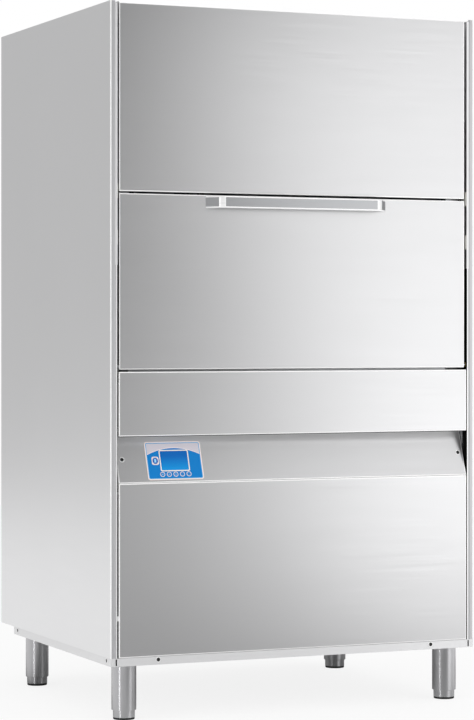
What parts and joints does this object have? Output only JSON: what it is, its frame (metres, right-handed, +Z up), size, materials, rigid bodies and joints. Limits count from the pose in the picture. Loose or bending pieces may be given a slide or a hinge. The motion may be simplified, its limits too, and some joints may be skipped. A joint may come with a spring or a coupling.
{
  "type": "utensil washer",
  "caption": "Free-standing stainless utensil washer with a split door: the upper panel slides up as the lower one folds down to a shelf, over a sloping control panel and screw feet.",
  "frame": {"origin": "middle of the footprint of the whole object, on the floor under the foot pads", "axes": "+Z up, front towards -Y, +X to the right of someone facing the front"},
  "size_m": [1, 0.9136, 1.755],
  "materials": {
    "panel_steel": "ground stainless sheet",
    "side_steel": "ground stainless sheet",
    "inner_steel": "plain stainless sheet",
    "frame_steel": "folded stainless section",
    "bar_steel": "machined stainless",
    "leg_steel": "polished stainless tube",
    "handle_steel": "polished stainless",
    "rubber_black": "moulded",
    "hose_rubber": "extruded",
    "shoe_plastic": "machined slide plastic",
    "module_plastic": "moulded",
    "overlay_film": "printed polyester film",
    "display_film": "tinted window",
    "key_film": "embossed film key",
    "brass": "turned",
    "motor_paint": "cast, painted",
    "gland_plastic": "moulded nylon",
    "spring_steel": "drawn wire"
  },
  "bodies": {
    "cabinet": {"base_frame": "frame_steel", "leg_tubes": "leg_steel", "side_panel_left": "side_steel", "side_panel_right": "side_steel", "front_subframe": "frame_steel", "hinge_bushes": "brass", "guide_channels": "frame_steel", "rear_panel": "side_steel", "roof_panel": "side_steel", "fascia_panel": "panel_steel", "control_panel": "panel_steel", "service_panel": "panel_steel", "panel_screws": "bar_steel", "wash_chamber": "inner_steel", "door_gasket": "rubber_black", "wash_tank": "inner_steel", "tank_filter": "inner_steel", "drain_pipe": "gland_plastic", "heating_element": "bar_steel", "pump_motor": "motor_paint", "pump_volute": "module_plastic", "pump_hoses": "hose_rubber", "wash_manifold": "bar_steel", "rinse_pipe": "bar_steel", "boiler": "inner_steel", "inlet_valve": "brass", "cable_gland": "gland_plastic", "wash_rack": "bar_steel", "control_module": "module_plastic", "overlay": "overlay_film", "display_window": "display_film", "balance_springs": "spring_steel"},
    "foot_front_left": {"foot_sleeve_front_left": "leg_steel", "foot_pad_front_left": "rubber_black"},
    "foot_front_right": {"foot_sleeve_front_right": "leg_steel", "foot_pad_front_right": "rubber_black"},
    "foot_rear_left": {"foot_sleeve_rear_left": "leg_steel", "foot_pad_rear_left": "rubber_black"},
    "foot_rear_right": {"foot_sleeve_rear_right": "leg_steel", "foot_pad_rear_right": "rubber_black"},
    "lower_door": {"lower_door_skin": "panel_steel", "lower_door_liner": "inner_steel", "door_handle": "handle_steel", "door_levers": "bar_steel"},
    "upper_door": {"upper_door_skin": "panel_steel", "upper_door_liner": "inner_steel", "slide_bars": "bar_steel", "guide_shoes": "shoe_plastic"},
    "lower_wash_arm": {"lower_wash_arm": "bar_steel"},
    "lower_rinse_arm": {"lower_rinse_arm": "bar_steel"},
    "upper_wash_arm": {"upper_wash_arm": "bar_steel"},
    "upper_rinse_arm": {"upper_rinse_arm": "bar_steel"},
    "pump_rotor": {"pump_rotor": "bar_steel"},
    "overflow_pipe": {"overflow_pipe": "bar_steel"},
    "key_1": {"key_1": "key_film"},
    "key_2": {"key_2": "key_film"},
    "key_3": {"key_3": "key_film"},
    "key_4": {"key_4": "key_film"},
    "key_5": {"key_5": "key_film"},
    "program_key": {"program_key": "key_film"}
  },
  "joints": [
    {"name": "lower_door_hinge", "type": "hinge", "parent": "cabinet", "child": "lower_door", "pos_m": [0, -0.41325, 0.865], "axis": [1, 0, 0], "range_deg": [0, 90]},
    {"name": "upper_door_slide", "type": "slide", "parent": "cabinet", "child": "upper_door", "axis": [0, 0, 1], "range_m": [0, 0.43], "deforming": ["balance_springs"]},
    {"name": "foot_front_left_screw", "type": "slide", "parent": "cabinet", "child": "foot_front_left", "axis": [0, 0, -1], "range_m": [0, 0.03]},
    {"name": "foot_front_right_screw", "type": "slide", "parent": "cabinet", "child": "foot_front_right", "axis": [0, 0, -1], "range_m": [0, 0.03]},
    {"name": "foot_rear_left_screw", "type": "slide", "parent": "cabinet", "child": "foot_rear_left", "axis": [0, 0, -1], "range_m": [0, 0.03]},
    {"name": "foot_rear_right_screw", "type": "slide", "parent": "cabinet", "child": "foot_rear_right", "axis": [0, 0, -1], "range_m": [0, 0.03]},
    {"name": "lower_wash_arm_spin", "type": "hinge", "parent": "cabinet", "child": "lower_wash_arm", "pos_m": [0, -0.02, 0.837], "axis": [0, 0, 1], "continuous": true},
    {"name": "lower_rinse_arm_spin", "type": "hinge", "parent": "cabinet", "child": "lower_rinse_arm", "pos_m": [0, -0.02, 0.858], "axis": [0, 0, 1], "continuous": true},
    {"name": "upper_wash_arm_spin", "type": "hinge", "parent": "cabinet", "child": "upper_wash_arm", "pos_m": [0, -0.02, 1.6395], "axis": [0, 0, 1], "continuous": true},
    {"name": "upper_rinse_arm_spin", "type": "hinge", "parent": "cabinet", "child": "upper_rinse_arm", "pos_m": [0, -0.02, 1.6195], "axis": [0, 0, 1], "continuous": true},
    {"name": "pump_spin", "type": "hinge", "parent": "cabinet", "child": "pump_rotor", "pos_m": [0, -0.05, 0.26], "axis": [1, 0, 0], "continuous": true},
    {"name": "overflow_lift", "type": "slide", "parent": "cabinet", "child": "overflow_pipe", "axis": [0, 0, 1], "range_m": [0, 0.05]},
    {"name": "key_1_press", "type": "slide", "parent": "cabinet", "child": "key_1", "axis": [0, 0.9434, -0.3316], "range_m": [0, 0.0005], "stiffness_N_per_m": 2500},
    {"name": "key_2_press", "type": "slide", "parent": "cabinet", "child": "key_2", "axis": [0, 0.9434, -0.3316], "range_m": [0, 0.0005], "stiffness_N_per_m": 2500},
    {"name": "key_3_press", "type": "slide", "parent": "cabinet", "child": "key_3", "axis": [0, 0.9434, -0.3316], "range_m": [0, 0.0005], "stiffness_N_per_m": 2500},
    {"name": "key_4_press", "type": "slide", "parent": "cabinet", "child": "key_4", "axis": [0, 0.9434, -0.3316], "range_m": [0, 0.0005], "stiffness_N_per_m": 2500},
    {"name": "key_5_press", "type": "slide", "parent": "cabinet", "child": "key_5", "axis": [0, 0.9434, -0.3316], "range_m": [0, 0.0005], "stiffness_N_per_m": 2500},
    {"name": "program_key_press", "type": "slide", "parent": "cabinet", "child": "program_key", "axis": [0, 0.9434, -0.3316], "range_m": [0, 0.0005], "stiffness_N_per_m": 2500}
  ],
  "couplings": [
    {"joint": "upper_door_slide", "follows": "lower_door_hinge", "m_per_rad": 0.27375}
  ]
}
